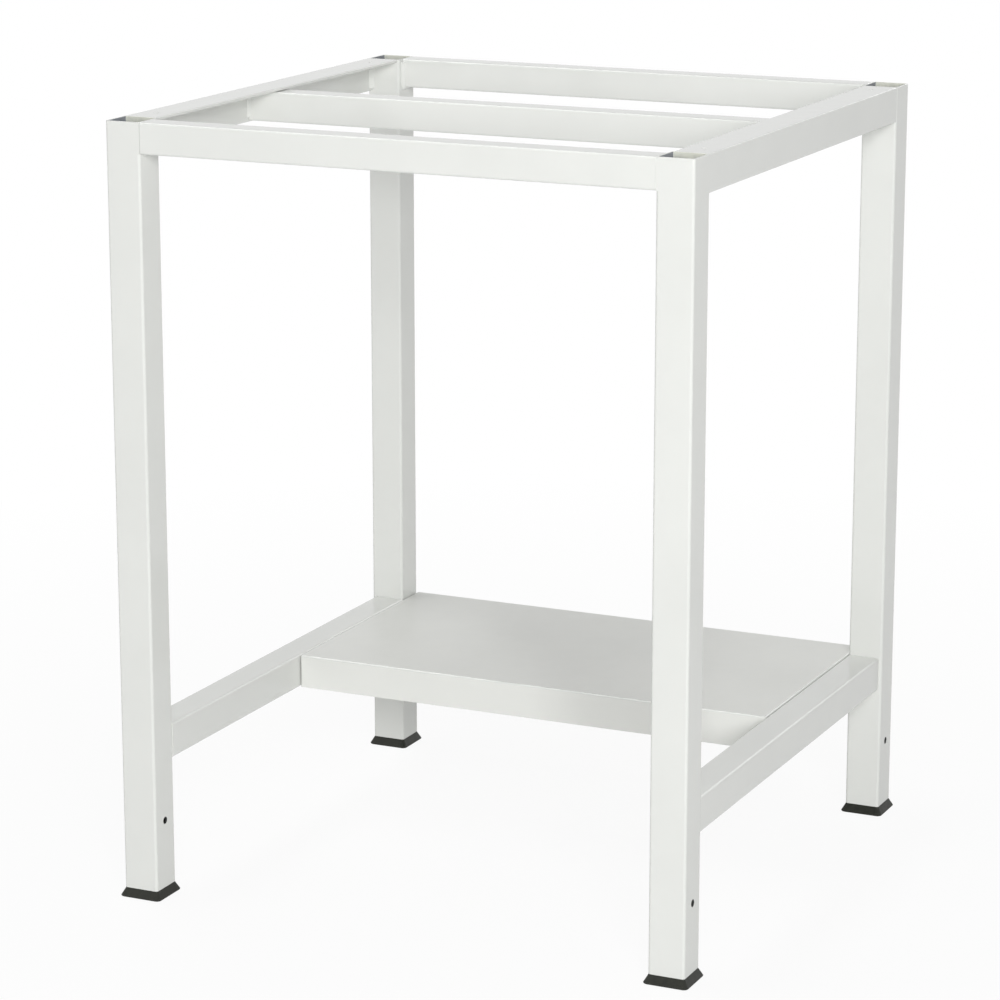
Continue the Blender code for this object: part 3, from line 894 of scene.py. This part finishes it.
def white_rays(nodes):
    """1 for camera, glossy and transmission rays, 0 for the rays that light the table."""
    ray = nodes.add("ShaderNodeLightPath")
    first = nodes.add("ShaderNodeMath", operation="MAXIMUM")
    nodes.join(ray.outputs["Is Camera Ray"], first.inputs[0])
    nodes.join(ray.outputs["Is Glossy Ray"], first.inputs[1])
    second = nodes.add("ShaderNodeMath", operation="MAXIMUM")
    nodes.join(first.outputs["Value"], second.inputs[0])
    nodes.join(ray.outputs["Is Transmission Ray"], second.inputs[1])
    return second.outputs["Value"]


def make_floor():
    """A pale floor that keeps the table's soft shadow and runs out to white."""
    builder = bmesh.new()
    bmesh.ops.create_circle(builder, cap_ends=True, segments=FLOOR_SIDES, radius=FLOOR_RADIUS)
    bmesh.ops.translate(builder, vec=(0, 0, -FLOOR_DROP), verts=builder.verts)
    made = bpy.data.materials.new("studio_floor")
    made.use_nodes = True
    nodes = Nodes(made.node_tree)
    shader = made.node_tree.nodes["Principled BSDF"]
    shader.inputs["Base Color"].default_value = (FLOOR_TONE, FLOOR_TONE, FLOOR_TONE, 1.0)
    shader.inputs["Roughness"].default_value = FLOOR_ROUGHNESS
    shader.inputs["Specular IOR Level"].default_value = 0.0
    white = nodes.add("ShaderNodeEmission", {"Color": WHITE, "Strength": 1.0})
    place = nodes.add("ShaderNodeNewGeometry").outputs["Position"]
    distance = nodes.add("ShaderNodeVectorMath", operation="LENGTH")
    nodes.join(place, distance.inputs[0])
    far = nodes.spread(distance.outputs["Value"], FLOOR_WHITE, 1.0, SHADOW_START, SHADOW_END)
    seen = white_rays(nodes)
    share = nodes.add("ShaderNodeMath", operation="MULTIPLY")
    nodes.join(far, share.inputs[0])
    nodes.join(seen, share.inputs[1])
    mix = nodes.add("ShaderNodeMixShader")
    nodes.join(share.outputs["Value"], mix.inputs["Fac"])
    nodes.join(shader.outputs["BSDF"], mix.inputs[1])
    nodes.join(white.outputs["Emission"], mix.inputs[2])
    nodes.join(mix.outputs["Shader"], made.node_tree.nodes["Material Output"].inputs["Surface"])
    mesh_object("studio_floor", builder, [made])


def make_world():
    """Soft light from all round; the camera and reflections see it as white."""
    world = bpy.data.worlds.new("studio")
    world.use_nodes = True
    bpy.context.scene.world = world
    nodes = Nodes(world.node_tree)
    background = world.node_tree.nodes["Background"]
    background.inputs["Color"].default_value = WHITE
    strength = nodes.spread(white_rays(nodes), AMBIENT, 1.0, 0.0, 1.0)
    nodes.join(strength, background.inputs["Strength"])


def make_lights():
    """Soft boxes aimed at the table; two of them also show as bright lines in the edges of its paint."""
    for name, (place, width, height, power) in LIGHTS.items():
        lamp = bpy.data.lights.new(name, "AREA")
        lamp.shape = "RECTANGLE"
        lamp.size = width
        lamp.size_y = height
        lamp.energy = power
        made = link(bpy.data.objects.new(name, lamp))
        made.location = place
        made.rotation_euler = (AIM - place).to_track_quat("-Z", "Y").to_euler()
        made.visible_camera = False
        made.visible_glossy = name in MIRRORED_LAMPS


def make_camera():
    """A plain camera without shift or blur."""
    camera = bpy.data.cameras.new("camera")
    camera.sensor_width = SENSOR
    camera.lens = CAMERA_LENS
    made = link(bpy.data.objects.new("camera", camera))
    made.location = CAMERA_PLACE
    made.rotation_euler = (math.pi / 2 + CAMERA_TILT, 0.0, CAMERA_TURN)
    bpy.context.scene.camera = made


make_legs()
make_side_rails()
make_cross_rails()
make_stretchers()
make_shelf()
make_feet()
make_screws()
make_corner_welds()
make_middle_rail_welds()
make_stretcher_welds()
make_floor()
make_world()
make_lights()
make_camera()

bpy.context.scene.view_settings.view_transform = "Standard"

bpy.context.view_layer.update()
